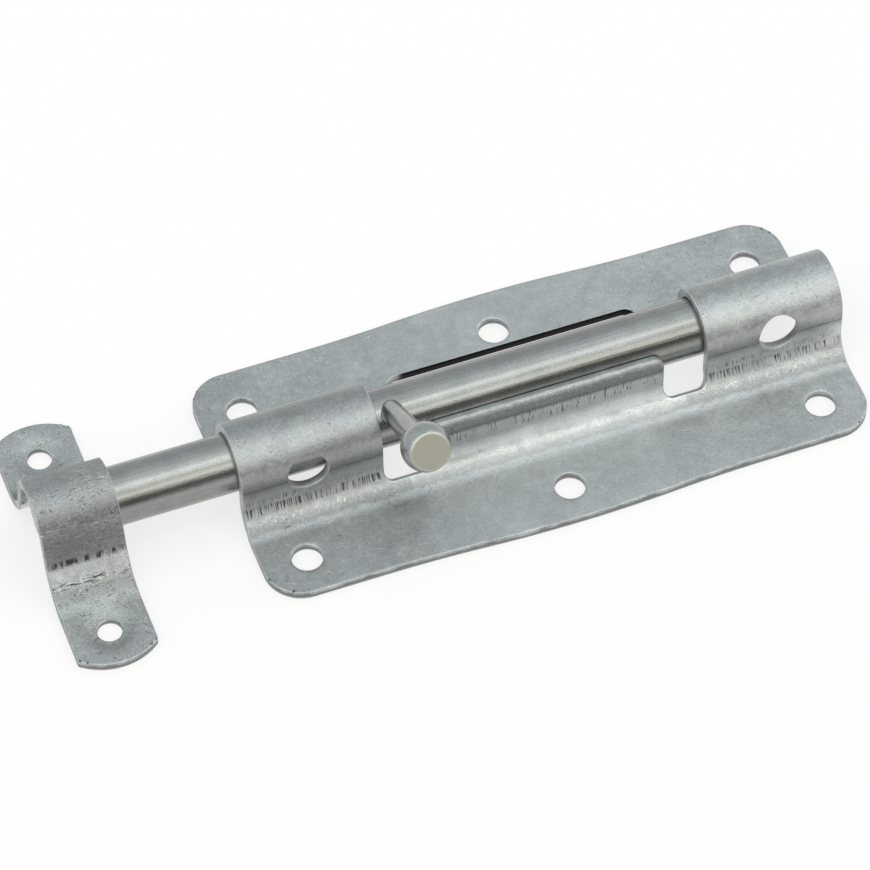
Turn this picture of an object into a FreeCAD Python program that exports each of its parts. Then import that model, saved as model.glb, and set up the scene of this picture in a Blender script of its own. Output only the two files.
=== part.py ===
import FreeCAD, Part
import math
import os
import Sketcher
from FreeCAD import Vector

# Slide bolt with its keeper, in millimetres.
# +X runs along the bolt away from the keeper, -Y is the side with the guard, +Z leaves the door.
# The origin is the middle of the base plate, on the face that lies on the door.

SIZES = [
    ("bar_dia", 13.0, "round bolt"),
    ("bar_length", 158.0, "bolt, end to end"),
    ("bar_chamfer", 1.2, "both ends of the bolt"),
    ("wall", 2.0, "steel sheet of the plate and the keeper"),
    ("slide_gap", 0.15, "radial play of the bolt in the hoops"),
    ("axis_height", 13.6, "bolt axis above the door"),
    ("plate_length", 139.0, "base plate along the bolt"),
    ("edge_front", 30.4, "bolt axis to the front edge at the hoops"),
    ("edge_back", 32.4, "bolt axis to the back edge at the hoops"),
    ("edge_bulge", 1.4, "how much wider each edge is in the middle"),
    ("bulge_reach", 44.0, "half the length of the wider stretch"),
    ("corner_radius", 8.5, "corners of the base plate"),
    ("bend_radius", 6.5, "upper side of the bend from leg to plate"),
    ("hoop_inner", 37.4, "middle of the plate to a hoop's inner end"),
    ("guard_half", 27.4, "half the length of the guard"),
    ("guard_rise", 3.0, "guard above the bolt axis"),
    ("guard_round", 2.6, "upper corners of the guard"),
    ("notch_floor", 4.3, "bottom of the two handle notches above the door"),
    ("notch_round", 2.0, "lower corners of the notches"),
    ("slot_left", 27.6, "middle of the plate to the slot's left end"),
    ("slot_right", 31.0, "middle of the plate to the slot's right end"),
    ("slot_back", 18.4, "bolt axis to the slot's back edge"),
    ("slot_round", 2.5, "back corners of the slot"),
    ("screw_dia", 6.8, "screw holes of the plate"),
    ("screw_from_end", 10.0, "end of the plate to the end screws"),
    ("screw_end_y", 21.3, "bolt axis to the end screws"),
    ("screw_mid_y", 23.1, "bolt axis to the middle screws"),
    ("lock_dia", 9.2, "padlock holes through the hoops, level with the bolt axis"),
    ("lock_x", 54.4, "middle of the plate to the padlock holes"),
    ("keeper_x", 104.8, "middle of the plate to the middle of the keeper"),
    ("keeper_width", 17.8, "keeper along the bolt"),
    ("keeper_length", 67.0, "keeper across the bolt"),
    ("keeper_gap", 0.35, "radial play of the bolt in the keeper"),
    ("keeper_bend", 9.5, "upper side of the keeper's bends"),
    ("keeper_lean", 15.0, "keeper's legs off upright, degrees"),
    ("keeper_tip", 13.5, "radius of the keeper's rounded ends"),
    ("keeper_screw_dia", 5.4, "screw holes of the keeper"),
    ("keeper_screw_y", 24.4, "bolt axis to the keeper's screws"),
    ("bolt_in_keeper", 16.5, "how far the bolt reaches into the keeper"),
    ("stem_dia", 5.2, "handle stem"),
    ("stem_offset", 2.5, "stem's axis above the bolt's, seen with the handle level in front"),
    ("stem_side_gap", 1.4, "stem to the hoop beside it when bolted"),
    ("stem_seat_gap", 0.06, "stem foot to the round of the bolt"),
    ("stem_in_knob", 4.2, "how far the stem enters the knob"),
    ("knob_dia", 10.8, "ball of the knob"),
    ("knob_reach", 29.6, "bolt axis to the middle of the knob, along the stem"),
    ("knob_neck", 6.6, "knob where the stem enters"),
    ("knob_flat", 8.2, "flat outer end of the knob"),
    ("knob_round", 0.8, "edge of that flat"),
    ("handle_rise", 32.0, "handle above level, toward the guard's side, degrees"),
]

doc = FreeCAD.newDocument("SlideBolt")
sheet = doc.addObject("Spreadsheet::Sheet", "Sizes")
for row, (alias, value, note) in enumerate(SIZES, start=1):
    sheet.set("A%d" % row, alias.replace("_", " "))
    sheet.set("B%d" % row, str(value))
    sheet.set("C%d" % row, note)
    sheet.setAlias("B%d" % row, alias)
doc.recompute()


def size(alias):
    return float(sheet.get(alias))


def evaluate(expression):
    # the present value of an expression over the sheet
    result = sheet.evalExpression(expression)
    return float(getattr(result, "Value", result))


def new_body(name):
    body = doc.addObject("PartDesign::Body", name)
    body.Label = name
    return body


def plane_of(body, role):
    for feature in body.Origin.OriginFeatures:
        if feature.Role == role:
            return feature
    raise RuntimeError("no plane " + role)


def new_sketch(body, name, role):
    sketch = body.newObject("Sketcher::SketchObject", name)
    sketch.AttachmentSupport = [(plane_of(body, role), "")]
    sketch.MapMode = "FlatFace"
    return sketch


def drive(sketch, name, expression, *constraint):
    # one named dimension that follows the sheet
    number = sketch.addConstraint(Sketcher.Constraint(*constraint))
    sketch.renameConstraint(number, name)
    sketch.setExpression("Constraints." + name, expression)


def join(sketch, kind, *pairs):
    # an end of one edge to an end of another: 1 is its start, 2 its end and 3 its centre
    for pair in pairs:
        sketch.addConstraint(Sketcher.Constraint(kind, *pair))


def fix(sketch, *constraints):
    for constraint in constraints:
        sketch.addConstraint(Sketcher.Constraint(*constraint))


def line(sketch, start, end):
    return sketch.addGeometry(Part.LineSegment(Vector(*start, 0), Vector(*end, 0)), False)


def arc(sketch, centre, radius, start, end):
    # angles in radians, counter-clockwise from start to end
    circle = Part.Circle(Vector(*centre, 0), Vector(0, 0, 1), radius)
    return sketch.addGeometry(Part.ArcOfCircle(circle, start, end), False)


def plain(body, kind, name, sketch):
    feature = body.newObject("PartDesign::" + kind, name)
    feature.Profile = sketch
    feature.SideType = "Symmetric"
    sketch.Visibility = False
    return feature


def pad_across(body, name, sketch, length):
    # both ways from the sketch
    pad = plain(body, "Pad", name, sketch)
    pad.Type = "Length"
    pad.setExpression("Length", length)
    doc.recompute()
    return pad


def cut_through(body, name, sketch):
    # through everything, both ways from the sketch
    before = body.Tip.Shape.Volume
    pocket = plain(body, "Pocket", name, sketch)
    pocket.Type = "ThroughAll"
    doc.recompute()
    if pocket.Shape.Volume >= before:
        raise RuntimeError(name + " cuts nothing")
    return pocket


def circle(sketch, name, x, y, diameter):
    # a hole whose centre and diameter follow expressions; x and y may be negative
    place = [evaluate(x), evaluate(y)]
    ring = sketch.addGeometry(Part.Circle(Vector(*place, 0), Vector(0, 0, 1), evaluate(diameter) / 2), False)
    drive(sketch, name + "_dia", diameter, "Diameter", ring, evaluate(diameter))
    for way, expression, value in (("X", x, place[0]), ("Y", y, place[1])):
        if expression == "0":
            sketch.addConstraint(Sketcher.Constraint("PointOnObject", ring, 3, -2 if way == "X" else -1))
        else:
            drive(sketch, name + way, expression, "Distance" + way, -1, 1, ring, 3, value)


def hat_sketch(body, gap, bend, reach, lean=None):
    # Section of a bent strap across the bolt: feet on the door, two legs, a hoop round the bolt.
    # Legs stand upright, or lean outwards by an angle; gap, bend and lean name cells, reach is an expression.
    sketch = new_sketch(body, body.Name + "_section", "YZ_Plane")
    tilt = math.radians(size(lean)) if lean else 0.0
    thick, bend_r, foot, height = size("wall"), size(bend), evaluate(reach), size("axis_height")
    inner = size("bar_dia") / 2 + size(gap)
    outer = inner + thick
    out_y, out_z = math.cos(tilt), math.sin(tilt)
    centre_z = thick + bend_r
    centre_y = (outer + bend_r + (height - centre_z) * out_z) / out_y

    skins = []
    for hoop_radius, turn_radius, level in ((outer, bend_r, thick), (inner, bend_r + thick, 0.0)):
        top = Vector(hoop_radius * out_y, height + hoop_radius * out_z, 0)
        low = Vector(centre_y - turn_radius * out_y, centre_z - turn_radius * out_z, 0)
        foot_l = line(sketch, (-foot, level), (-centre_y, level))
        turn_l = arc(sketch, (-centre_y, centre_z), turn_radius, -math.pi / 2, -tilt)
        leg_l = line(sketch, (-low.x, low.y), (-top.x, top.y))
        hoop = arc(sketch, (0, height), hoop_radius, tilt, math.pi - tilt)
        leg_r = line(sketch, (top.x, top.y), (low.x, low.y))
        turn_r = arc(sketch, (centre_y, centre_z), turn_radius, math.pi + tilt, 1.5 * math.pi)
        foot_r = line(sketch, (centre_y, level), (foot, level))
        join(sketch, "Tangent", (foot_l, 2, turn_l, 1), (turn_l, 2, leg_l, 1), (leg_l, 2, hoop, 2),
             (hoop, 1, leg_r, 1), (leg_r, 2, turn_r, 1), (turn_r, 2, foot_r, 1))
        fix(sketch, ("Horizontal", foot_l), ("Horizontal", foot_r))
        skins.append((foot_l, turn_l, leg_l, hoop, leg_r, turn_r, foot_r))
    over, under = skins
    end_l = line(sketch, (-foot, 0), (-foot, thick))
    end_r = line(sketch, (foot, thick), (foot, 0))
    join(sketch, "Coincident", (end_l, 1, under[0], 1), (end_l, 2, over[0], 1),
         (end_r, 1, over[6], 2), (end_r, 2, under[6], 2),
         (over[1], 3, under[1], 3), (over[3], 3, under[3], 3), (over[5], 3, under[5], 3))
    fix(sketch, ("Vertical", end_l), ("Vertical", end_r), ("PointOnObject", over[3], 3, -2),
        ("PointOnObject", under[0], 1, -1), ("PointOnObject", under[6], 2, -1),
        ("Equal", over[1], over[5]))
    drive(sketch, "axis", "Sizes.axis_height", "DistanceY", -1, 1, over[3], 3, height)
    drive(sketch, "hoop", "Sizes.bar_dia / 2 + Sizes." + gap, "Radius", under[3], inner)
    drive(sketch, "hoop_out", "Sizes.bar_dia / 2 + Sizes." + gap + " + Sizes.wall", "Radius", over[3], outer)
    drive(sketch, "thickness", "Sizes.wall", "DistanceY", end_l, 1, end_l, 2, thick)
    drive(sketch, "bend", "Sizes." + bend, "Radius", over[1], bend_r)
    drive(sketch, "foot_l", reach, "DistanceX", under[0], 1, -1, 1, foot)
    drive(sketch, "foot_r", reach, "DistanceX", -1, 1, under[6], 2, foot)
    if lean:
        drive(sketch, "lean_l", "90 - Sizes." + lean, "Angle", over[2], math.pi / 2 - tilt)
        drive(sketch, "lean_r", "Sizes." + lean + " - 90", "Angle", over[4], tilt - math.pi / 2)
    else:
        fix(sketch, ("Vertical", over[2]), ("Vertical", over[4]))
    return sketch


def frame_round(sketch, length, width):
    # a large rectangle about the origin: what lies between it and an outline is cut off
    x, y = evaluate(length) / 2, evaluate(width) / 2
    corners = [(-x, -y), (x, -y), (x, y), (-x, y)]
    sides = [line(sketch, corners[i], corners[(i + 1) % 4]) for i in range(4)]
    join(sketch, "Coincident", *[(sides[i], 2, sides[(i + 1) % 4], 1) for i in range(4)])
    fix(sketch, ("Horizontal", sides[0]), ("Horizontal", sides[2]), ("Vertical", sides[1]),
        ("Vertical", sides[3]), ("Symmetric", sides[0], 1, sides[2], 1, -1, 1))
    drive(sketch, "frame_x", length, "DistanceX", sides[0], 1, sides[0], 2, 2 * x)
    drive(sketch, "frame_y", width, "DistanceY", sides[1], 1, sides[1], 2, 2 * y)


def swelling_edge(sketch, side, name, level):
    # One long edge of the plate, left to right: straight past each hoop, and an S each way to a wider middle.
    # side is +1 at the back and -1 in front. Three arcs of one radius make the swelling.
    half, corner = size("plate_length") / 2, size("corner_radius")
    edge, rise, reach = size(level), size("edge_bulge"), size("bulge_reach")
    radius = (reach ** 2 + rise ** 2) / (4 * rise)
    turn = math.asin(reach / 2 / radius)
    quarter = math.pi / 2

    def bow(centre_x, centre_y, bow_r, start, end):
        if side < 0:
            start, end = -end, -start
        return arc(sketch, (centre_x, side * centre_y), bow_r, start, end)

    near, far = (1, 2) if side > 0 else (2, 1)
    corner_l = bow(-half + corner, edge - corner, corner, quarter, 2 * quarter)
    run_l = line(sketch, (-half + corner, side * edge), (-reach, side * edge))
    hollow_l = bow(-reach, edge + radius, radius, -quarter, turn - quarter)
    crown = bow(0, edge + rise - radius, radius, quarter - turn, quarter + turn)
    hollow_r = bow(reach, edge + radius, radius, -quarter - turn, -quarter)
    run_r = line(sketch, (reach, side * edge), (half - corner, side * edge))
    corner_r = bow(half - corner, edge - corner, corner, 0, quarter)
    join(sketch, "Tangent", (corner_l, near, run_l, 1), (run_l, 2, hollow_l, near),
         (hollow_l, far, crown, far), (crown, near, hollow_r, near), (hollow_r, far, run_r, 1),
         (run_r, 2, corner_r, far))
    fix(sketch, ("Horizontal", run_l), ("Horizontal", run_r), ("Equal", hollow_l, crown),
        ("Equal", hollow_r, crown), ("PointOnObject", crown, 3, -2))
    swell = "(Sizes.bulge_reach ^ 2 + Sizes.edge_bulge ^ 2) / (4 * Sizes.edge_bulge)"
    drive(sketch, name + "_swell", swell, "Radius", crown, radius)
    drive(sketch, name + "_reach", "Sizes.bulge_reach", "DistanceX", run_l, 2, -1, 1, reach)
    for corner_arc, mark in ((corner_l, "_l"), (corner_r, "_r")):
        drive(sketch, name + mark, "Sizes.corner_radius", "Radius", corner_arc, corner)
    if side > 0:
        drive(sketch, name + "_level", "Sizes." + level, "DistanceY", -1, 1, run_l, 2, edge)
    else:
        drive(sketch, name + "_level", "Sizes." + level, "DistanceY", run_l, 2, -1, 1, edge)
    return corner_l, far, corner_r, near


def base_plate():
    # One stamping: plate, two hoops, the guard between them, and a slot behind the bolt.
    body = new_body("base_plate")
    widest = "max(Sizes.edge_front; Sizes.edge_back) + 2 * Sizes.edge_bulge"
    section = hat_sketch(body, "slide_gap", "bend_radius", widest)
    pad_across(body, "bent_sheet", section, "Sizes.plate_length")

    outline = new_sketch(body, "plate_outline", "XY_Plane")
    frame_round(outline, "1.5 * Sizes.plate_length", "4 * (Sizes.edge_front + Sizes.edge_back)")
    back_l, back_l_end, back_r, back_r_end = swelling_edge(outline, 1, "back", "edge_back")
    front_l, front_l_end, front_r, front_r_end = swelling_edge(outline, -1, "front", "edge_front")
    half, corner = size("plate_length") / 2, size("corner_radius")
    ends = []
    for x in (-half, half):
        ends.append(line(outline, (x, corner - size("edge_front")), (x, size("edge_back") - corner)))
    join(outline, "Tangent", (ends[0], 1, front_l, front_l_end), (ends[0], 2, back_l, back_l_end),
         (ends[1], 1, front_r, front_r_end), (ends[1], 2, back_r, back_r_end))
    drive(outline, "end_l", "Sizes.plate_length / 2", "DistanceX", ends[0], 1, -1, 1, half)
    drive(outline, "end_r", "Sizes.plate_length / 2", "DistanceX", -1, 1, ends[1], 1, half)
    cut_through(body, "trimmed_plate", outline)

    # seen from the front: two notches down to the bends, and all above the guard between them
    gaps = new_sketch(body, "notch_outline", "XZ_Plane")
    hoop, guard = size("hoop_inner"), size("guard_half")
    floor, low_r, high_r = size("notch_floor"), size("notch_round"), size("guard_round")
    ridge = size("axis_height") + size("guard_rise")
    above = size("axis_height") + size("bar_dia")
    quarter = math.pi / 2
    left, right = [], []
    for side, chain in ((-1, left), (1, right)):
        def turn(x, z, radius, start, end):
            if side > 0:
                start, end = 2 * quarter - end, 2 * quarter - start
            return arc(gaps, (side * x, z), radius, start, end)
        chain.append(line(gaps, (side * hoop, above), (side * hoop, floor + low_r)))
        chain.append(turn(hoop - low_r, floor + low_r, low_r, 2 * quarter, 3 * quarter))
        chain.append(line(gaps, (side * (hoop - low_r), floor), (side * (guard + low_r), floor)))
        chain.append(turn(guard + low_r, floor + low_r, low_r, -quarter, 0))
        chain.append(line(gaps, (side * guard, floor + low_r), (side * guard, ridge - high_r)))
        chain.append(turn(guard - high_r, ridge - high_r, high_r, quarter, 2 * quarter))
        near, far = (1, 2) if side < 0 else (2, 1)
        join(gaps, "Tangent", (chain[0], 2, chain[1], near), (chain[1], far, chain[2], 1),
             (chain[2], 2, chain[3], near), (chain[3], far, chain[4], 1), (chain[4], 2, chain[5], far))
        fix(gaps, ("Vertical", chain[0]), ("Vertical", chain[4]), ("Horizontal", chain[2]),
            ("Equal", chain[1], chain[3]))
    crest = line(gaps, (-guard + high_r, ridge), (guard - high_r, ridge))
    lid = line(gaps, (-hoop, above), (hoop, above))
    join(gaps, "Tangent", (crest, 1, left[5], 1), (crest, 2, right[5], 2))
    join(gaps, "Coincident", (lid, 1, left[0], 1), (lid, 2, right[0], 1))
    fix(gaps, ("Horizontal", crest), ("Horizontal", lid), ("Equal", left[1], right[1]),
        ("Equal", left[5], right[5]))
    drive(gaps, "hoop_l", "Sizes.hoop_inner", "DistanceX", left[0], 1, -1, 1, hoop)
    drive(gaps, "hoop_r", "Sizes.hoop_inner", "DistanceX", -1, 1, right[0], 1, hoop)
    drive(gaps, "guard_l", "Sizes.guard_half", "DistanceX", left[4], 1, -1, 1, guard)
    drive(gaps, "guard_r", "Sizes.guard_half", "DistanceX", -1, 1, right[4], 1, guard)
    drive(gaps, "floor_l", "Sizes.notch_floor", "DistanceY", -1, 1, left[2], 1, floor)
    drive(gaps, "floor_r", "Sizes.notch_floor", "DistanceY", -1, 1, right[2], 1, floor)
    drive(gaps, "low_round", "Sizes.notch_round", "Radius", left[1], low_r)
    drive(gaps, "high_round", "Sizes.guard_round", "Radius", left[5], high_r)
    drive(gaps, "ridge", "Sizes.axis_height + Sizes.guard_rise", "DistanceY", -1, 1, crest, 1, ridge)
    drive(gaps, "above", "Sizes.axis_height + Sizes.bar_dia", "DistanceY", -1, 1, lid, 1, above)
    cut_through(body, "notched_plate", gaps)

    # the slot behind the bolt, open to the bolt's axis; it takes the rear leg along the guard
    slot = new_sketch(body, "slot_outline", "XY_Plane")
    start, end, back, corner = size("slot_left"), size("slot_right"), size("slot_back"), size("slot_round")
    side_l = line(slot, (-start, 0), (-start, back - corner))
    round_l = arc(slot, (corner - start, back - corner), corner, quarter, 2 * quarter)
    rear = line(slot, (corner - start, back), (end - corner, back))
    round_r = arc(slot, (end - corner, back - corner), corner, 0, quarter)
    side_r = line(slot, (end, back - corner), (end, 0))
    close = line(slot, (end, 0), (-start, 0))
    join(slot, "Tangent", (side_l, 2, round_l, 2), (round_l, 1, rear, 1), (rear, 2, round_r, 2),
         (round_r, 1, side_r, 1))
    join(slot, "Coincident", (side_r, 2, close, 1), (close, 2, side_l, 1))
    fix(slot, ("Vertical", side_l), ("Vertical", side_r), ("Horizontal", rear),
        ("PointOnObject", close, 1, -1), ("PointOnObject", close, 2, -1), ("Equal", round_l, round_r))
    drive(slot, "left", "Sizes.slot_left", "DistanceX", side_l, 1, -1, 1, start)
    drive(slot, "right", "Sizes.slot_right", "DistanceX", -1, 1, side_r, 2, end)
    drive(slot, "back", "Sizes.slot_back", "DistanceY", -1, 1, rear, 1, back)
    drive(slot, "round", "Sizes.slot_round", "Radius", round_l, corner)
    cut_through(body, "slotted_plate", slot)

    screws = new_sketch(body, "screw_holes", "XY_Plane")
    to_end = "(Sizes.plate_length / 2 - Sizes.screw_from_end)"
    for column, x, y in (("left", "-" + to_end, "screw_end_y"), ("middle", "0", "screw_mid_y"),
                         ("right", to_end, "screw_end_y")):
        circle(screws, column + "_front", x, "-Sizes." + y, "Sizes.screw_dia")
        circle(screws, column + "_back", x, "Sizes." + y, "Sizes.screw_dia")
    cut_through(body, "drilled_plate", screws)

    locks = new_sketch(body, "padlock_holes", "XZ_Plane")
    circle(locks, "left", "-Sizes.lock_x", "Sizes.axis_height", "Sizes.lock_dia")
    circle(locks, "right", "Sizes.lock_x", "Sizes.axis_height", "Sizes.lock_dia")
    cut_through(body, "plate_for_padlock", locks)
    return body


def keeper():
    # A narrower strap bent the same way, with rounded ends and leaning legs.
    body = new_body("keeper")
    body.setExpression("Placement.Base.x", "-Sizes.keeper_x")
    section = hat_sketch(body, "keeper_gap", "keeper_bend", "Sizes.keeper_length / 2", "keeper_lean")
    pad_across(body, "bent_strap", section, "Sizes.keeper_width")

    tips = new_sketch(body, "keeper_outline", "XY_Plane")
    frame_round(tips, "2 * Sizes.keeper_width", "1.5 * Sizes.keeper_length")
    half_w, half_l, radius = size("keeper_width") / 2, size("keeper_length") / 2, size("keeper_tip")
    turn = math.asin(half_w / radius)
    quarter = math.pi / 2
    middle = half_l - radius
    shoulder = middle + radius * math.cos(turn)
    back = arc(tips, (0, middle), radius, quarter - turn, quarter + turn)
    front = arc(tips, (0, -middle), radius, -quarter - turn, turn - quarter)
    side_l = line(tips, (-half_w, -shoulder), (-half_w, shoulder))
    side_r = line(tips, (half_w, -shoulder), (half_w, shoulder))
    join(tips, "Coincident", (side_l, 2, back, 2), (side_r, 2, back, 1),
         (side_l, 1, front, 1), (side_r, 1, front, 2))
    fix(tips, ("Vertical", side_l), ("Vertical", side_r), ("PointOnObject", back, 3, -2),
        ("PointOnObject", front, 3, -2), ("Equal", back, front))
    drive(tips, "left", "Sizes.keeper_width / 2", "DistanceX", side_l, 1, -1, 1, half_w)
    drive(tips, "right", "Sizes.keeper_width / 2", "DistanceX", -1, 1, side_r, 1, half_w)
    drive(tips, "tip", "Sizes.keeper_tip", "Radius", back, radius)
    centre = "Sizes.keeper_length / 2 - Sizes.keeper_tip"
    drive(tips, "back_centre", centre, "DistanceY", -1, 1, back, 3, middle)
    drive(tips, "front_centre", centre, "DistanceY", front, 3, -1, 1, middle)
    cut_through(body, "trimmed_strap", tips)

    screws = new_sketch(body, "keeper_screw_holes", "XY_Plane")
    circle(screws, "front", "0", "-Sizes.keeper_screw_y", "Sizes.keeper_screw_dia")
    circle(screws, "back", "0", "Sizes.keeper_screw_y", "Sizes.keeper_screw_dia")
    cut_through(body, "drilled_strap", screws)
    return body


def rims(shape, radius):
    # names of the full circular edges of one radius
    found = []
    for number, edge in enumerate(shape.Edges, start=1):
        if hasattr(edge.Curve, "Radius") and edge.Closed and abs(edge.Curve.Radius - radius) < 1e-6:
            found.append("Edge%d" % number)
    return found


def bolt_bar():
    # Round bar with both ends chamfered; its tip stands inside the keeper.
    body = new_body("bolt_bar")
    tip = "-Sizes.keeper_x + Sizes.keeper_width / 2 - Sizes.bolt_in_keeper"
    body.setExpression("Placement.Base.x", tip + " + Sizes.bar_length / 2")
    body.setExpression("Placement.Base.z", "Sizes.axis_height")
    section = new_sketch(body, "bar_section", "YZ_Plane")
    circle(section, "bar", "0", "0", "Sizes.bar_dia")
    bar = pad_across(body, "bar", section, "Sizes.bar_length")
    ends = body.newObject("PartDesign::Chamfer", "bar_ends")
    ends.Base = (bar, rims(bar.Shape, size("bar_dia") / 2))
    ends.setExpression("Size", "Sizes.bar_chamfer")
    doc.recompute()
    return body


def stand_handle(body):
    # The handle's own Z points out of the bolt, beside its axis; here it is laid toward the front and raised.
    body.Placement = FreeCAD.Placement(Vector(0, 0, 0), FreeCAD.Rotation(Vector(1, 0, 0), 45))
    body.setExpression("Placement.Rotation.Angle", "90 - Sizes.handle_rise")
    beside_hoop = "-Sizes.hoop_inner + Sizes.stem_side_gap + Sizes.stem_dia / 2"
    turned = "(Sizes.handle_rise * 1 deg)"
    body.setExpression("Placement.Base.x", beside_hoop)
    body.setExpression("Placement.Base.y", "Sizes.stem_offset * sin" + turned)
    body.setExpression("Placement.Base.z", "Sizes.axis_height + Sizes.stem_offset * cos" + turned)


NECK = "Sizes.knob_reach - sqrt((Sizes.knob_dia / 2) ^ 2 - (Sizes.knob_neck / 2) ^ 2)"


def handle_stem():
    # Round pin that stands on the bolt; its foot is shaped to the bolt's round.
    body = new_body("handle_stem")
    stand_handle(body)
    section = new_sketch(body, "stem_section", "XY_Plane")
    circle(section, "stem", "0", "0", "Sizes.stem_dia")
    stem = pad_across(body, "stem", section, NECK + " + Sizes.stem_in_knob")
    stem.SideType = "One side"
    doc.recompute()
    round_foot = new_sketch(body, "bolt_round", "YZ_Plane")
    circle(round_foot, "foot", "-Sizes.stem_offset", "0", "Sizes.bar_dia + 2 * Sizes.stem_seat_gap")
    cut_through(body, "coped_stem", round_foot)
    return body


def handle_knob():
    # Ball with a bored neck for the stem and a flat outer end.
    body = new_body("handle_knob")
    stand_handle(body)
    profile = new_sketch(body, "knob_profile", "XZ_Plane")
    ball, neck, flat = size("knob_dia") / 2, size("knob_neck") / 2, size("knob_flat") / 2
    bore, reach = size("stem_dia") / 2, size("knob_reach")
    mouth = reach - math.sqrt(ball ** 2 - neck ** 2)
    crown = reach + math.sqrt(ball ** 2 - flat ** 2)
    depth = mouth + size("stem_in_knob")
    shoulder = line(profile, (bore, mouth), (neck, mouth))
    bowl = arc(profile, (0, reach), ball, math.atan2(mouth - reach, neck), math.atan2(crown - reach, flat))
    end = line(profile, (flat, crown), (0, crown))
    core = line(profile, (0, crown), (0, depth))
    seat = line(profile, (0, depth), (bore, depth))
    wall = line(profile, (bore, depth), (bore, mouth))
    join(profile, "Coincident", (shoulder, 2, bowl, 1), (bowl, 2, end, 1), (end, 2, core, 1),
         (core, 2, seat, 1), (seat, 2, wall, 1), (wall, 2, shoulder, 1))
    fix(profile, ("Horizontal", shoulder), ("Horizontal", end), ("Horizontal", seat), ("Vertical", wall),
        ("PointOnObject", core, 1, -2), ("PointOnObject", core, 2, -2), ("PointOnObject", bowl, 3, -2))
    drive(profile, "ball", "Sizes.knob_dia / 2", "Radius", bowl, ball)
    drive(profile, "reach", "Sizes.knob_reach", "DistanceY", -1, 1, bowl, 3, reach)
    drive(profile, "neck", "Sizes.knob_neck / 2", "DistanceX", -1, 1, shoulder, 2, neck)
    drive(profile, "flat", "Sizes.knob_flat / 2", "DistanceX", -1, 1, end, 1, flat)
    drive(profile, "bore", "Sizes.stem_dia / 2", "DistanceX", -1, 1, wall, 1, bore)
    drive(profile, "depth", "Sizes.stem_in_knob", "DistanceY", wall, 2, wall, 1, depth - mouth)
    turned = body.newObject("PartDesign::Revolution", "ball")
    turned.Profile = profile
    turned.ReferenceAxis = (profile, ["V_Axis"])
    turned.Angle = 360
    profile.Visibility = False
    doc.recompute()
    edge = body.newObject("PartDesign::Fillet", "knob_edge")
    edge.Base = (turned, rims(turned.Shape, flat))
    edge.setExpression("Radius", "Sizes.knob_round")
    doc.recompute()
    return body


parts = [base_plate(), bolt_bar(), handle_stem(), handle_knob(), keeper()]
doc.recompute()

for item in doc.Objects:
    if "Invalid" in item.State or "Error" in item.State:
        raise RuntimeError(item.Name + " failed: " + str(item.State))
os.makedirs("parts", exist_ok=True)
for part in parts:
    shape = part.Shape
    if shape.isNull() or not shape.isValid() or len(shape.Solids) != 1:
        raise RuntimeError(part.Label + " is not one valid solid")
for part in parts:
    part.Shape.exportStep("parts/" + part.Label + ".step")
    print(part.Label, round(part.Shape.Volume, 1), "mm3")
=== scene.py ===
import math

import bpy
from mathutils import Matrix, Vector
import numpy as np


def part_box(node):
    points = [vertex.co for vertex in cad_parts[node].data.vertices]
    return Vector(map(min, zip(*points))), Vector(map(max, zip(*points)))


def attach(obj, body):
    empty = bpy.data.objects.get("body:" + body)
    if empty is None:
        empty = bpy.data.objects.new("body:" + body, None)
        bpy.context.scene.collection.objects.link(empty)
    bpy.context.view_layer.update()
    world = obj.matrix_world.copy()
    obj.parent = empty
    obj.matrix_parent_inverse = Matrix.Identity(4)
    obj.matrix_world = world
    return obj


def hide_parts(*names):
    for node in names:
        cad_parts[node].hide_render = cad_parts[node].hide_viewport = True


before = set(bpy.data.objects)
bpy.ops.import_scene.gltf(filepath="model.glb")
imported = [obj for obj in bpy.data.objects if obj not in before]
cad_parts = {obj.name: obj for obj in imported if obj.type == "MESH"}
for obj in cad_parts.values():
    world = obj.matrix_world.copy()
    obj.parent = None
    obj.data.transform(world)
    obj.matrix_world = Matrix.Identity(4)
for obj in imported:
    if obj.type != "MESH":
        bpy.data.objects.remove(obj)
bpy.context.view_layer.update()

# Slide bolt: pressed zinc-plated plate, drawn bar, turned handle and a strap keeper.
# Lengths in the dictionaries are millimetres; meshes are made in metres.

mm = 0.001


def sizeOf(node):
    # middle and extent of a CAD node, in millimetres
    low, high = (np.array(corner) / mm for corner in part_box(node))
    return (low + high) / 2, high - low


barMiddle, barExtent = sizeOf("bolt_bar")
_, plateExtent = sizeOf("base_plate")
keeperMiddle, keeperExtent = sizeOf("keeper")
axisHeight = float(barMiddle[2])
barRadius = float(barExtent[2]) / 2


def toLinear(hexColour):
    # sRGB hex to the linear values that shaders take
    parts = [int(hexColour[i:i + 2], 16) / 255 for i in (1, 3, 5)]
    return [c / 12.92 if c <= 0.04045 else ((c + 0.055) / 1.055) ** 2.4 for c in parts] + [1.0]


def addNode(tree, kind, inputs=None, **settings):
    # a node with its settings; an input is a value, another node, or one of its outputs
    node = tree.nodes.new(kind)
    for name, value in settings.items():
        setattr(node, name, value)
    for name, value in (inputs or {}).items():
        if isinstance(value, bpy.types.Node):
            value = next(socket for socket in value.outputs if socket.enabled)
        if isinstance(value, bpy.types.NodeSocket):
            tree.links.new(value, node.inputs[name])
        else:
            node.inputs[name].default_value = value
    return node


def fillRamp(ramp, stops):
    # a colour ramp's stops from a list of (place between 0 and 1, linear colour)
    elements = ramp.color_ramp.elements
    for i, (place, colour) in enumerate(stops):
        stop = elements[i] if i < 2 else elements.new(place)
        stop.position = place
        stop.color = colour


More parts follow.
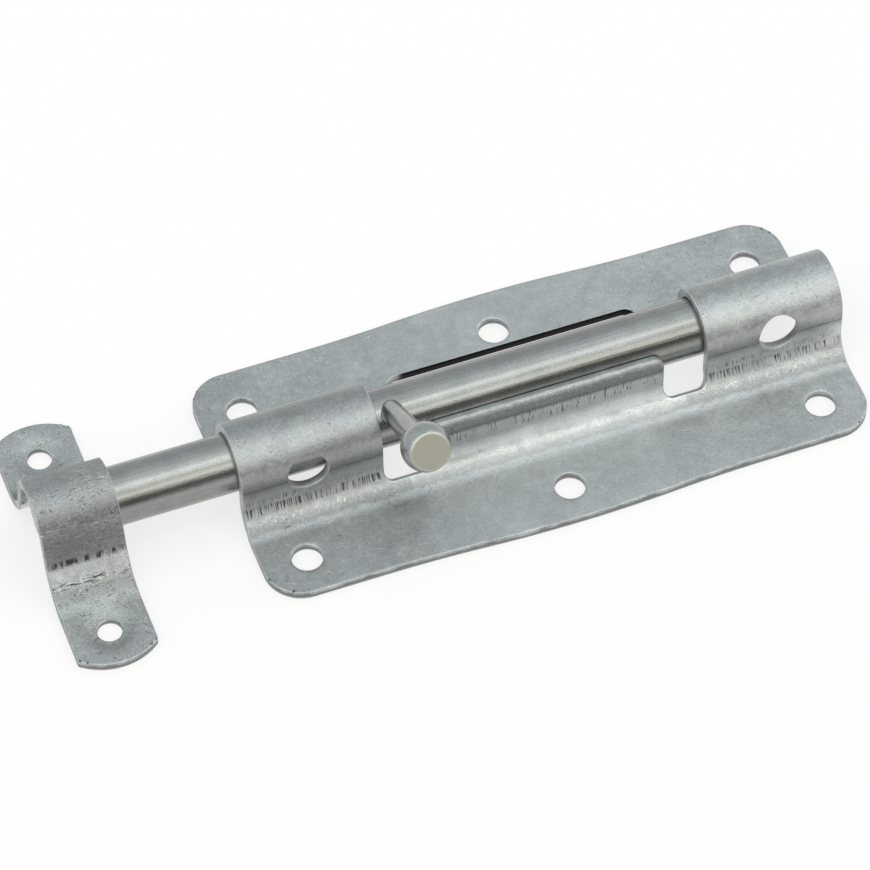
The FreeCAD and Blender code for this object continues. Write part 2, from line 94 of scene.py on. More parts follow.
def plug(tree, shader, inputs):
    # a value or a node's output into each named input of the shader
    for name, value in inputs.items():
        if isinstance(value, bpy.types.NodeSocket):
            tree.links.new(value, shader.inputs[name])
        else:
            shader.inputs[name].default_value = value


# camera

cameraSet = {
    "azimuth": -20.55,       # degrees round the part, 0 looks along +Y
    "elevation": 51.96,
    "distance": 1050.1,      # to the plane through the origin
    "aside": 21.02,          # origin to the right of the picture's middle
    "above": 4.95,           # and above it
    "focal": 198.8,          # on a 36 mm sensor
}


def makeCamera(c):
    a, e = math.radians(c["azimuth"]), math.radians(c["elevation"])
    back = np.array([math.sin(a) * math.cos(e), -math.cos(a) * math.cos(e), math.sin(e)])
    right = np.array([math.cos(a), math.sin(a), 0.0])
    up = np.cross(back, right)
    data = bpy.data.cameras.new("photoView")
    data.lens, data.sensor_width = c["focal"], 36.0
    data.clip_start, data.clip_end = 0.05, 20.0
    camera = bpy.data.objects.new("photoView", data)
    bpy.context.scene.collection.objects.link(camera)
    place = (c["distance"] * back - c["aside"] * right - c["above"] * up) * mm
    matrix = np.eye(4)
    matrix[:3, 0], matrix[:3, 1], matrix[:3, 2], matrix[:3, 3] = right, up, back, place
    camera.matrix_world = Matrix(matrix.tolist())
    bpy.context.scene.camera = camera


makeCamera(cameraSet)
print("camera placed")


# floor and light

studioSet = {
    "floor": "#757472",
    "floorHalf": 1500.0,
    "glow": 0.74,           # the light table's own light
    # degrees from the front horizon over the top to the back horizon, brightness, colour:
    # a dark gap low in front, two long softboxes over the front and the top, paler sky behind
    "sky": (
        (0, 0.26, "#FCFCF5"), (24, 0.22, "#FCFCF5"), (33, 1.1, "#FEFEF8"), (40, 2.6, "#FEFFF9"),
        (49, 1.8, "#FDFFF9"), (61, 1.45, "#FCFFFB"), (69, 2.3, "#FBFFFC"), (76, 2.85, "#FAFFFC"),
        (86, 1.75, "#F8FFFE"), (100, 1.5, "#F6FDFD"), (112, 1.3, "#F5FDFE"), (126, 1.0, "#F4FCFE"),
        (145, 0.88, "#F4FBFD"), (180, 0.9, "#F6FAFB"),
    ),
}


def makeStudio(s):
    half = s["floorHalf"] * mm
    mesh = bpy.data.meshes.new("floor")
    corners = [(-half, -half, 0), (half, -half, 0), (half, half, 0), (-half, half, 0)]
    mesh.from_pydata(corners, [], [(0, 1, 2, 3)])
    floor = bpy.data.objects.new("floor", mesh)
    bpy.context.scene.collection.objects.link(floor)
    paper = bpy.data.materials.new("opalLightTable")
    paper.use_nodes = True
    plug(paper.node_tree, paper.node_tree.nodes["Principled BSDF"], {
        "Base Color": toLinear(s["floor"]), "Roughness": 0.9, "Specular IOR Level": 0.1,
        "Emission Color": (1, 1, 1, 1), "Emission Strength": s["glow"]})
    mesh.materials.append(paper)

    world = bpy.data.worlds.new("studio")
    world.use_nodes = True
    tree = world.node_tree
    tree.nodes.clear()
    way = addNode(tree, "ShaderNodeTexCoord")
    split = addNode(tree, "ShaderNodeSeparateXYZ", {"Vector": way.outputs["Generated"]})
    ahead = addNode(tree, "ShaderNodeMath", {0: split.outputs["Y"], 1: -1.0}, operation="MULTIPLY")
    swing = addNode(tree, "ShaderNodeMath", {0: split.outputs["Z"], 1: ahead}, operation="ARCTAN2")
    turn = addNode(tree, "ShaderNodeMath", {0: swing, 1: math.pi}, operation="DIVIDE")
    ramp = addNode(tree, "ShaderNodeValToRGB", {0: turn})
    peak = max(bright for _, bright, _ in s["sky"])
    fillRamp(ramp, [(at / 180, [c * bright / peak for c in toLinear(colour)[:3]] + [1.0])
                    for at, bright, colour in s["sky"]])
    sky = addNode(tree, "ShaderNodeBackground", {"Color": ramp, "Strength": peak})
    out = addNode(tree, "ShaderNodeOutputWorld", {"Surface": sky})
    out.is_active_output = True
    bpy.context.scene.world = world

    bpy.context.scene.view_settings.view_transform = "Standard"


makeStudio(studioSet)
print("studio lit")


# mesh helpers

def pieceFrom(name, points, faces, body, nodes, materials, rimFrom=None):
    # points in millimetres, faces as a list of arrays of 3 or 4 corners;
    # the arrays from rimFrom on take the second material
    mesh = bpy.data.meshes.new(name)
    corners = np.concatenate([f.ravel() for f in faces])
    sizes = np.concatenate([np.full(len(f), f.shape[1]) for f in faces])
    mesh.vertices.add(len(points))
    mesh.vertices.foreach_set("co", (points * mm).astype(np.float32).ravel())
    mesh.loops.add(len(corners))
    mesh.loops.foreach_set("vertex_index", corners.astype(np.int32))
    mesh.polygons.add(len(sizes))
    mesh.polygons.foreach_set("loop_start", np.concatenate([[0], np.cumsum(sizes)[:-1]]).astype(np.int32))
    mesh.polygons.foreach_set("use_smooth", np.ones(len(sizes), bool))
    mesh.update(calc_edges=True)
    if rimFrom is not None:
        index = np.concatenate([np.full(len(f), int(i >= rimFrom)) for i, f in enumerate(faces)])
        mesh.polygons.foreach_set("material_index", index.astype(np.int32))
    piece = bpy.data.objects.new(name, mesh)
    bpy.context.scene.collection.objects.link(piece)
    for material in materials:
        mesh.materials.append(material)
    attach(piece, body)
    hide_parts(*nodes)
    print(name, len(points), "points")
    return piece


# pressed sheet

plateShape = {
    "sheet": 2.0,
    "play": 0.15,            # bolt to hoop
    "bend": 6.5,             # upper side of the bends
    "lean": 0.0,             # legs off square, degrees
    "cell": 0.6,             # grid pitch
    "edgeRound": 0.22,       # rolled edge of the stamping
    "edgeFront": 30.4,       # bolt's axis to the long edges, at the ends
    "edgeBack": 32.4,
    "bulge": 1.4,            # swell of the long edges in the middle
    "bulgeReach": 44.0,      # and how far it reaches either way
    "corner": 8.5,
    "hoopInner": 37.4,       # middle to the hoops' inner ends
    "guardHalf": 27.4,
    "ridge": axisHeight + 3.0,   # top of the guard
    "guardRound": 2.6,
    "notchFloor": 4.3,
    "notchRound": 2.0,
    "slot": (-27.6, 31.0, 18.4, 2.5),   # left, right, back, corner
    "screws": ((59.5, 21.3, 3.4), (0.0, 23.1, 3.4)),   # beside, across, radius
    "lock": (54.4, axisHeight, 4.6),    # beside, up, radius
    "dish": (0.12, 0.7),     # depth and reach of the dish round a screw hole
    "wave": 0.03,            # how far the plate is off flat
}

keeperShape = {
    "sheet": 2.0,
    "play": 0.35,
    "bend": 9.5,
    "lean": 15.0,
    "cell": 0.45,
    "edgeRound": 0.2,
    "tip": 13.5,             # radius of the rounded ends
    "screw": (24.4, 2.7),    # across, radius
    "dish": (0.75, 2.4),
    "wave": 0.02,
}


def sectionOf(shape):
    # Middle line of a bent strap, as a function of the signed length along it from the top of the hoop.
    # An arc round the bolt, a straight leg, an arc the other way, and a flat foot; both sides alike.
    t, bend = shape["sheet"], shape["bend"]
    lean = math.radians(shape["lean"])
    hoop = barRadius + shape["play"] + t / 2
    turn = bend + t / 2
    outY, outZ = math.cos(lean), math.sin(lean)
    centreZ = t + bend
    centreY = (hoop + turn + (axisHeight - centreZ) * outZ) / outY
    legTop = np.array([hoop * outY, axisHeight + hoop * outZ])
    legLow = np.array([centreY - turn * outY, centreZ - turn * outZ])
    sweep = math.pi / 2 - lean
    ends = np.cumsum([hoop * sweep, np.hypot(*(legLow - legTop)), turn * sweep])

    def at(s):
        a, side = np.abs(s), np.where(s < 0, -1.0, 1.0)
        part = [a < ends[0], a < ends[1], a < ends[2]]
        angle = np.select(part, [math.pi / 2 - a / hoop, lean, lean + (a - ends[1]) / turn], math.pi / 2)
        nY, nZ = np.cos(angle), np.sin(angle)
        down = a - ends[0]
        y = np.select(part, [hoop * nY, legTop[0] + down * outZ, centreY - turn * nY], centreY + a - ends[2])
        z = np.select(part, [axisHeight + hoop * nZ, legTop[1] - down * outY, centreZ - turn * nZ], t / 2)
        return side * y, z, side * nY, nZ

    return at, ends, centreY


def roundedMeet(a, b, radius):
    # the lesser of two distances, with a rounded corner where both are near
    near = (a < radius) & (b < radius)
    return np.where(near, radius - np.hypot(radius - a, radius - b), np.minimum(a, b))


def plateGone(x, y, z):
    # Positive where the plate is cut away: outside the outline, in the notches, slot and holes.
    # Distances in millimetres, near enough to true ones beside each edge. A long edge swells in an arc over
    # the middle half of bulgeReach, and runs out beyond it in the same arc turned over.
    p = plateShape
    a, reach, rise = np.abs(x), p["bulgeReach"], p["bulge"]
    bow = (reach ** 2 + rise ** 2) / (4 * rise)
    crown = rise - bow + np.sqrt(bow ** 2 - np.minimum(a, reach / 2) ** 2)
    hollow = bow - np.sqrt(bow ** 2 - np.clip(reach - a, 0, reach / 2) ** 2)
    swell = np.where(a < reach / 2, crown, hollow)
    edge = np.where(y > 0, p["edgeBack"], p["edgeFront"]) + swell - np.abs(y)
    gone = -roundedMeet(plateExtent[0] / 2 - a, edge, p["corner"])

    guardSide = p["guardHalf"] - a
    guard = -roundedMeet(guardSide, p["ridge"] - z, p["guardRound"])
    window = roundedMeet(p["hoopInner"] - a, z - p["notchFloor"], p["notchRound"])
    gone = np.maximum(gone, roundedMeet(window, guard, p["notchRound"]))

    left, right, back, corner = p["slot"]
    slot = roundedMeet(np.minimum(x - left, right - x), back - y, corner)
    gone = np.maximum(gone, np.minimum(slot, y))
    for hx, hy, r in p["screws"]:
        gone = np.maximum(gone, r - np.hypot(a - hx, np.abs(y) - hy))
    lockX, lockZ, lockR = p["lock"]
    return np.maximum(gone, lockR - np.hypot(a - lockX, z - lockZ))


def keeperGone(x, y, z):
    # Positive outside the rounded ends and in the two screw holes; x is from the strap's middle.
    k = keeperShape
    middle, wellInside = keeperExtent[1] / 2 - k["tip"], -9.0
    tip = np.hypot(x, np.maximum(np.abs(y) - middle, 0)) - k["tip"]
    gone = np.maximum(np.abs(x) - keeperExtent[0] / 2, np.where(np.abs(y) > middle, tip, wellInside))
    holeY, holeR = k["screw"]
    return np.maximum(gone, holeR - np.hypot(x, np.abs(y) - holeY))


def pressedSheet(shape, gone, halfLength, halfWidth, swellAt):
    # A grid over (x along the bolt, s along the section), pulled onto the outline where it passes near it.
    # Both skins stand half a sheet off the middle line, and a rounded rim joins them. A point is pulled by
    # steps of level over slope, against the slope's direction. The faces come back as four arrays for the
    # skins, then the rim's.
    at, ends, centreY = sectionOf(shape)
    cell, half = shape["cell"], shape["sheet"] / 2
    reach = ends[2] + halfWidth - centreY + cell
    xs = np.linspace(-halfLength - cell, halfLength + cell, int(2 * halfLength / cell) + 3)
    ss = np.linspace(-reach, reach, int(2 * reach / cell) + 1)
    x, s = (g.ravel() for g in np.meshgrid(xs, ss, indexing="ij"))

    def level(px, ps):
        y, z, nY, nZ = at(ps)
        return gone(px, y + half * nY, z + half * nZ)

    def slope(px, ps, step=0.02):
        gx = (level(px + step, ps) - level(px - step, ps)) / (2 * step)
        gs = (level(px, ps + step) - level(px, ps - step)) / (2 * step)
        size = np.maximum(np.hypot(gx, gs), 1e-6)
        return gx / size, gs / size, size

    def pull(which, times=4):
        for _ in range(times):
            gx, gs, size = slope(x[which], s[which])
            move = np.clip(level(x[which], s[which]) / size, -cell, cell)
            x[which] -= move * gx
            s[which] -= move * gs

    # points within half a cell of the outline go onto it; faces are kept where their corners are inside
    _, _, size = slope(x, s)
    away = level(x, s) / size
    pull(np.nonzero(np.abs(away) < 0.5 * cell)[0])
    kept = (level(x, s) < 0.02 * cell).reshape(len(xs), len(ss))
    number = np.arange(len(x)).reshape(kept.shape)
    quad = np.stack([number[:-1, :-1], number[1:, :-1], number[1:, 1:], number[:-1, 1:]], -1).reshape(-1, 4)
    inside = kept.ravel()[quad]
    centre = level(x[quad].mean(1), s[quad].mean(1)) < 0
    quads = quad[inside.all(1) & centre]
    three = quad[(inside.sum(1) == 3)]
    missing = np.argmin(kept.ravel()[three], 1)
    order = (missing[:, None] + np.arange(1, 4)) % 4
    tris = np.take_along_axis(three, order, 1)
    tris = tris[level(x[tris].mean(1), s[tris].mean(1)) < 0]

    def rimEdges(faces):
        loops = np.concatenate([np.stack([f[:, i], f[:, (i + 1) % f.shape[1]]], 1)
                                for f in faces for i in range(f.shape[1])])
        code = loops[:, 0].astype(np.int64) * len(x) + loops[:, 1]
        back = loops[:, 1].astype(np.int64) * len(x) + loops[:, 0]
        return loops[~np.isin(code, back)]

    rim = rimEdges([quads, tris])
    edgePoints = np.unique(rim)
    pull(edgePoints, 6)
    gx, gs, _ = slope(x[edgePoints], s[edgePoints])

    e = shape["edgeRound"]
    skinX, skinS = x.copy(), s.copy()
    skinX[edgePoints] -= e * gx
    skinS[edgePoints] -= e * gs

    def lift(px, ps, outward):
        y, z, nY, nZ = at(ps)
        off = outward + swellAt(px, y, z) * (outward + half) / (2 * half)
        return np.stack([px, y + off * nY, z + off * nZ], 1)

    used = np.unique(np.concatenate([quads.ravel(), tris.ravel()]))
    renumber = np.full(len(x), -1)
    renumber[used] = np.arange(len(used))
    quads, tris, rim = renumber[quads], renumber[tris], renumber[rim]
    count = len(used)
    upper = lift(skinX[used], skinS[used], half)
    lower = lift(skinX[used], skinS[used], -half)

    # the rim's four rings, two on the quarter round of radius e at each skin: out from the edge, and off
    # the middle line
    ringOffsets = []
    for angle, face in ((45, 1), (90, 1), (90, -1), (45, -1)):
        out = e * math.sin(math.radians(angle)) - e
        rise = face * (half - e + e * math.cos(math.radians(angle)))
        ringOffsets.append((out, rise))
    points = [upper, lower]
    ring = np.full(count, -1)
    ring[renumber[edgePoints]] = np.arange(len(edgePoints))
    for out, rise in ringOffsets:
        px, ps = x[edgePoints] + out * gx, s[edgePoints] + out * gs
        points.append(lift(px, ps, rise))
    faces = [quads, quads[:, ::-1] + count, tris, tris[:, ::-1] + count]
    midRings = [2 * count + i * len(edgePoints) + ring[rim] for i in range(len(ringOffsets))]
    rings = [rim] + midRings + [rim + count]
    for first, second in zip(rings[:-1], rings[1:]):
        faces.append(np.stack([first[:, 1], first[:, 0], second[:, 0], second[:, 1]], 1))
    return np.concatenate(points), faces


# surfaces of revolution

def turnedSolid(profile, segments):
    # A profile of (distance along the axis, radius) turned about the axis; a radius of 0 closes an end.
    along, radius = np.array(profile, float).T
    angle = np.linspace(0, 2 * math.pi, segments + 1)[:-1]
    a, t = (g.ravel() for g in np.meshgrid(along, angle, indexing="ij"))
    r = np.repeat(radius, segments)
    points = np.stack([a, r * np.cos(t), r * np.sin(t)], 1)
    number = np.arange(len(a)).reshape(len(along), segments)
    turned = np.roll(number, -1, 1)
    faces = np.stack([number[:-1], turned[:-1], turned[1:], number[1:]], -1).reshape(-1, 4)
    return points, [faces]


def roundedCorner(corner, before, after, radius, steps=5):
    # A small curve in place of one corner of a profile, from first to last as ease goes from 0 to 1:
    # (1 - ease) squared of first, 2 ease (1 - ease) of the corner, and ease squared of last.
    corner, before, after = (np.array(p, float) for p in (corner, before, after))
    into = (before - corner) / np.linalg.norm(before - corner)
    out = (after - corner) / np.linalg.norm(after - corner)
    half = math.acos(np.clip(np.dot(into, out), -1, 1)) / 2
    cut = radius / math.tan(half)
    ease = np.linspace(0, 1, steps)[:, None]
    first, last = corner + into * cut, corner + out * cut
    return (1 - ease) ** 2 * first + 2 * ease * (1 - ease) * corner + ease ** 2 * last


def alongX(points, start):
    # a turned solid laid along the bolt
    return points + [start, 0, axisHeight]


def alongHandle(points, h):
    # A turned solid laid along out, which points over the front and up by rise; side is square to it, and
    # the solid's axis stands by offset along side from the bolt's axis.
    a = math.radians(h["rise"])
    out, side = np.array([0, -math.cos(a), math.sin(a)]), np.array([0, math.sin(a), math.cos(a)])
    across = points[:, 1:2] * [1.0, 0, 0] + (points[:, 2:] + h["offset"]) * side
    return points[:, :1] * out + across + [h["x"], 0, axisHeight]


def knobEnds(h):
    # The ball's mouth and its flat face, by distance from the bolt's axis along the handle:
    # its centre less, or plus, the root of (ball radius squared less the opening's radius squared).
    return (h["reach"] - math.sqrt(h["ball"] ** 2 - h["neck"] ** 2),
            h["reach"] + math.sqrt(h["ball"] ** 2 - h["flat"] ** 2))


# surfaces

def newMetal(name):
    # a metal material, its nodes, its shader and the place on the piece in millimetres
    metal = bpy.data.materials.new(name)
    metal.use_nodes = True
    tree = metal.node_tree
    shader = tree.nodes["Principled BSDF"]
    shader.inputs["Metallic"].default_value = 1.0
    place = addNode(tree, "ShaderNodeTexCoord").outputs["Object"]
    inMm = addNode(tree, "ShaderNodeVectorMath", {0: place, "Scale": 1 / mm}, operation="SCALE")
    return metal, tree, shader, inMm


def between(tree, value, low, high, soft):
    # 1 from low to high and 0 outside, falling off over soft
    up = addNode(tree, "ShaderNodeMapRange", {0: value, 1: low - soft / 2, 2: low + soft / 2},
                 interpolation_type="SMOOTHSTEP")
    down = addNode(tree, "ShaderNodeMapRange", {0: value, 1: high + soft / 2, 2: high - soft / 2},
                   interpolation_type="SMOOTHSTEP")
    return addNode(tree, "ShaderNodeMath", {0: up, 1: down}, operation="MULTIPLY")


platedLook = {
    "deep": "#9D9FA0",
    "pale": "#ACAEAF",
    "bright": "#D9DBD8",
    "dark": "#2C2D2C",
    "keeperEndShade": 0.84,         # painted shade: brightness left at the keeper's end
    "scuffed": 0.665,        # where the scratches start, lower for more of them
    "roughness": (0.36, 0.48),
    "cloud": 13.0,           # mm
    "mottle": 2.3,
    "grain": 0.4,
    # scratches: turn in radians, width and length in mm, hue
    "scratches": (
        (0.3, 0.16, 3.0, "dark"), (-0.9, 0.14, 2.2, "dark"), (1.4, 0.16, 2.8, "dark"),
        (2.1, 0.14, 1.8, "dark"), (-0.3, 0.17, 3.5, "bright"), (1.0, 0.15, 2.4, "bright"),
        (0.1, 0.35, 1.3, "dark"),
    ),
    # dots: cell size and radius in mm, hue, rise
    "dots": (
        (3.0, 0.16, "bright", 0.4), (1.6, 0.1, "bright", 0.2),
        (4.2, 0.17, "dark", -1.0), (2.4, 0.1, "dark", -0.6),
    ),
}

# Strain marks and painted light where the sheet was bent, by x from a middle and by z, both in mm and alike
# in front and behind. inner and outer: painted highlight and shade, how much the colour is brightened or
# darkened at each height, nearer the middle than split and beyond it; bands: short lines inside a window
# of x and z; creases: thin lines along the bend, sunk a little and darkened with painted shade.
plateMarks = {
    "middle": 0.0,
    "split": 32.0,
    "inner": (
        (2.25, 1.0), (2.6, 0.75), (3.3, 1.05), (4.4, 2.1), (5.3, 2.6), (6.6, 2.3), (8.0, 1.85),
        (11.6, 1.6), (12.4, 0.85), (13.0, 0.75), (15.0, 0.75), (15.8, 1.2), (16.5, 2.4),
    ),
    "outer": (
        (2.25, 1.0), (2.6, 0.65), (3.4, 0.9), (4.4, 1.7), (5.4, 1.9), (6.6, 1.5), (8.0, 1.8), (10.0, 1.6),
        (11.6, 1.1), (12.4, 0.8), (13.2, 0.9), (15.0, 1.1), (18.5, 1.25), (20.0, 1.1), (22.0, 0.86),
    ),
    "bands": (
        {"x": (37.8, 69.4), "z": (5.1, 7.0), "soft": 0.6,
         "size": (0.38, 5.0, 5.0), "dark": 0.5, "bright": 0.46, "patchy": 0.42},
        {"x": (38.4, 69.0), "z": (7.7, 9.2), "soft": 0.8,
         "size": (0.3, 3.0, 3.0), "dark": 0.57, "bright": 0.4, "patchy": 0.46},
        {"x": (38.4, 69.0), "z": (3.2, 4.8), "soft": 0.8,
         "size": (0.34, 0.8, 0.8), "dark": 0.75, "bright": 0.44, "patchy": 0.4},
        {"x": (-1.0, 26.5), "z": (8.8, 12.8), "soft": 1.0,
         "size": (0.32, 3.6, 3.6), "dark": 0.61, "bright": 0.1, "patchy": 0.32},
        {"x": (-1.0, 27.4), "z": (13.8, 17.5), "soft": 0.8,
         "size": (0.7, 0.3, 0.3), "dark": 0.68, "bright": 0.37, "patchy": 0.3},
    ),
    "creases": ({"x": (37.4, 70.0), "z": 12.5}, {"x": (-1.0, 27.4), "z": 12.7}),
}

keeperMarks = {
    "middle": float(keeperMiddle[0]),
    "split": 99.0,
    # inner: painted highlight and shade by height on the strap
    "inner": (
        (2.25, 0.9), (2.8, 0.62), (3.8, 0.66), (5.0, 1.15), (6.3, 1.85), (7.8, 1.95), (8.8, 1.2),
        (9.8, 0.85), (12.0, 0.68), (15.0, 0.61), (17.5, 0.78), (19.0, 0.6), (20.5, 0.62), (22.0, 0.74),
    ),
    "outer": ((2.0, 1.0), (20.0, 1.0)),
    "bands": (
        {"x": (-1.0, 8.6), "z": (8.6, 10.0), "soft": 0.8,
         "size": (0.75, 6.0, 6.0), "dark": 0.47, "bright": 0.36, "patchy": 0.3},
        {"x": (-1.0, 8.6), "z": (4.6, 8.6), "soft": 1.2,
         "size": (0.36, 5.0, 5.0), "dark": 0.68, "bright": 0.45, "patchy": 0.3},
        {"x": (-1.0, 8.8), "z": (4.4, 5.4), "soft": 0.6,
         "size": (2.2, 0.4, 0.4), "dark": 0.52, "bright": 0.4, "patchy": 0.3},
        {"x": (-1.0, 8.8), "z": (11.0, 19.0), "soft": 2.0,
         "size": (2.2, 0.5, 0.4), "dark": 0.64, "bright": 0.36, "patchy": 0.45},
    ),
    "creases": (),
}


def byHeight(tree, z, stops, highest=25.0, largest=3.0):
    # a value read off a list of (height in mm, value), straight between its entries;
    # highest and largest bring both within the ramp's 0 to 1
    part = addNode(tree, "ShaderNodeMath", {0: z, 1: highest}, operation="DIVIDE")
    ramp = addNode(tree, "ShaderNodeValToRGB", {0: part})
    fillRamp(ramp, [(height / highest, [value / largest] * 3 + [1.0]) for height, value in stops])
    return addNode(tree, "ShaderNodeMath", {0: ramp, 1: largest}, operation="MULTIPLY")


def platedSheet(name, look, marks):
    # Zinc-plated sheet steel, pressed cold: cloudy satin grey with fine grain, handling scratches, bright
    # specks and pits, and on the bends painted highlight and shade by height, short strain lines and a
    # crease with painted shade in it. The colour is a mix of two greys by the mean of two noises, times a
    # gain by height that paints the light and shade; the marks are mixed over it, and most of them also sink
    # the surface a little.
    sheet, tree, shader, inMm = newMetal(name)
    axes = addNode(tree, "ShaderNodeSeparateXYZ", {0: inMm})
    cloud = addNode(tree, "ShaderNodeTexNoise", {
        "Vector": inMm, "Scale": 1 / look["cloud"], "Detail": 5.0, "Roughness": 0.6, "Distortion": 0.8})
    mottle = addNode(tree, "ShaderNodeTexNoise", {
        "Vector": inMm, "Scale": 1 / look["mottle"], "Detail": 5.0, "Roughness": 0.7})
    grain = addNode(tree, "ShaderNodeTexNoise", {"Vector": inMm, "Scale": 1 / look["grain"], "Detail": 2.0})
    tone = addNode(tree, "ShaderNodeMix", {0: 0.5, 2: cloud.outputs[0], 3: mottle.outputs[0]})
    amount = addNode(tree, "ShaderNodeMapRange", {0: tone, 1: 0.36, 2: 0.64})
    colour = addNode(tree, "ShaderNodeMix", {
        0: amount, 6: toLinear(look["deep"]), 7: toLinear(look["pale"])}, data_type="RGBA")
    # wear grows towards the ends; tone and smaller blotches mixed make a factor round 1
    farOut = addNode(tree, "ShaderNodeMath", {0: axes.outputs["X"]}, operation="ABSOLUTE")
    worn = addNode(tree, "ShaderNodeMapRange", {0: farOut, 1: 14.0, 2: 48.0, 3: 0.35, 4: 1.0})
    blotch = addNode(tree, "ShaderNodeTexNoise", {
        "Vector": inMm, "Scale": 1 / 1.1, "Detail": 4.0, "Roughness": 0.75, "Distortion": 0.5})
    uneven = addNode(tree, "ShaderNodeMix", {0: 0.45, 2: tone, 3: blotch.outputs[0]})
    uneven = addNode(tree, "ShaderNodeMapRange", {0: uneven, 1: 0.38, 2: 0.62, 3: -0.12, 4: 0.12})
    uneven = addNode(tree, "ShaderNodeMath", {0: uneven, 1: worn}, operation="MULTIPLY")
    uneven = addNode(tree, "ShaderNodeMath", {0: uneven, 1: 1.0}, operation="ADD")
    grainy = addNode(tree, "ShaderNodeMapRange", {0: grain.outputs[0], 1: 0.3, 2: 0.7, 3: 0.9, 4: 1.1})
    height = grain.outputs[0]

    # gain: painted highlight and shade by height off the door, which wanders a little with the mottling, and
    # painted shade that darkens the sheet towards the keeper
    fromMiddle = addNode(tree, "ShaderNodeMath", {0: axes.outputs["X"], 1: marks["middle"]},
                         operation="SUBTRACT")
    aside = addNode(tree, "ShaderNodeMath", {0: fromMiddle}, operation="ABSOLUTE")
    wander = addNode(tree, "ShaderNodeMapRange", {0: mottle.outputs[0], 1: 0.3, 2: 0.7, 3: -0.18, 4: 0.18})
    outside = addNode(tree, "ShaderNodeMath", {0: aside, 1: marks["split"]}, operation="GREATER_THAN")
    near = addNode(tree, "ShaderNodeMath", {0: axes.outputs["Z"], 1: wander}, operation="ADD")
    inner, outer = byHeight(tree, near, marks["inner"]), byHeight(tree, near, marks["outer"])
    gain = addNode(tree, "ShaderNodeMix", {0: outside, 2: inner, 3: outer})
    keeperEndShade = addNode(tree, "ShaderNodeMapRange", {
        0: axes.outputs["X"], 1: -62.0, 2: -12.0, 3: look["keeperEndShade"], 4: 1.0})
    gain = addNode(tree, "ShaderNodeMath", {0: gain, 1: keeperEndShade}, operation="MULTIPLY")
    for factor in (grainy, uneven):
        gain = addNode(tree, "ShaderNodeMath", {0: gain, 1: factor}, operation="MULTIPLY")
    colour = addNode(tree, "ShaderNodeVectorMath", {0: colour, "Scale": gain}, operation="SCALE")

    # handling scratches: noise drawn out along several directions, only its crests, in patches
    for turn, pitch, long, hue in look["scratches"]:
        turned = addNode(tree, "ShaderNodeMapping", {
            "Vector": inMm, "Rotation": (0, 0, turn), "Scale": (long, pitch, pitch)}, vector_type="TEXTURE")
        lines = addNode(tree, "ShaderNodeTexNoise", {
            "Vector": turned, "Scale": 1.0, "Detail": 2.0, "Distortion": 0.9})
        crest = addNode(tree, "ShaderNodeMapRange", {
            0: lines.outputs[0], 1: look["scuffed"], 2: look["scuffed"] + 0.07})
        patch = addNode(tree, "ShaderNodeMapRange", {
            0: mottle.outputs[0], 1: 0.46, 2: 0.56, 3: 0.1, 4: 0.75})
        scratch = addNode(tree, "ShaderNodeMath", {0: crest, 1: patch}, operation="MULTIPLY")
        scratch = addNode(tree, "ShaderNodeMath", {0: scratch, 1: worn}, operation="MULTIPLY")
        colour = addNode(tree, "ShaderNodeMix", {0: scratch, 6: colour, 7: toLinear(look[hue])},
                         data_type="RGBA")
        height = addNode(tree, "ShaderNodeMath", {0: height, 1: scratch}, operation="SUBTRACT")

    # scattered points: bright zinc specks stand up a little, dark pits go in
    for size, radius, hue, rise in look["dots"]:
        dots = addNode(tree, "ShaderNodeTexVoronoi", {"Vector": inMm, "Scale": 1 / size, "Randomness": 1.0})
        dot = addNode(tree, "ShaderNodeMapRange", {
            0: dots.outputs["Distance"], 1: radius / size * 1.3, 2: radius / size * 0.6})
        some = addNode(tree, "ShaderNodeMapRange", {0: mottle.outputs[0], 1: 0.5, 2: 0.58, 4: 0.8})
        shown = addNode(tree, "ShaderNodeMath", {0: dot, 1: some}, operation="MULTIPLY")
        colour = addNode(tree, "ShaderNodeMix", {0: shown, 6: colour, 7: toLinear(look[hue])},
                         data_type="RGBA")
        raised = addNode(tree, "ShaderNodeMath", {0: shown, 1: rise}, operation="MULTIPLY")
        height = addNode(tree, "ShaderNodeMath", {0: height, 1: raised}, operation="ADD")

    # strain lines: noise drawn out down the bend, its crests dark and its troughs bright, inside a window
    for band in marks["bands"]:
        across = between(tree, aside, *band["x"], 0.8)
        down = between(tree, near, *band["z"], band["soft"])
        patch = addNode(tree, "ShaderNodeMapRange", {
            0: cloud.outputs[0], 1: band["patchy"], 2: band["patchy"] + 0.12, 3: 0.3})
        window = addNode(tree, "ShaderNodeMath", {0: across, 1: down}, operation="MULTIPLY")
        window = addNode(tree, "ShaderNodeMath", {0: window, 1: patch}, operation="MULTIPLY")
        stretched = addNode(tree, "ShaderNodeMapping", {
            "Vector": inMm, "Scale": [1 / size for size in band["size"]]})
        lines = addNode(tree, "ShaderNodeTexNoise", {"Vector": stretched, "Scale": 1.0, "Detail": 1.0})
        dark = addNode(tree, "ShaderNodeMapRange", {
            0: lines.outputs[0], 1: band["dark"], 2: band["dark"] + 0.1, 4: 0.85})
        bright = addNode(tree, "ShaderNodeMapRange", {
            0: lines.outputs[0], 1: band["bright"], 2: band["bright"] - 0.1, 4: 0.7})
        darkened = addNode(tree, "ShaderNodeMath", {0: dark, 1: window}, operation="MULTIPLY")
        brightened = addNode(tree, "ShaderNodeMath", {0: bright, 1: window}, operation="MULTIPLY")
        for hue, shown in (("bright", brightened), ("dark", darkened)):
            colour = addNode(tree, "ShaderNodeMix", {0: shown, 6: colour, 7: toLinear(look[hue])},
                             data_type="RGBA")
        height = addNode(tree, "ShaderNodeMath", {0: height, 1: darkened}, operation="SUBTRACT")
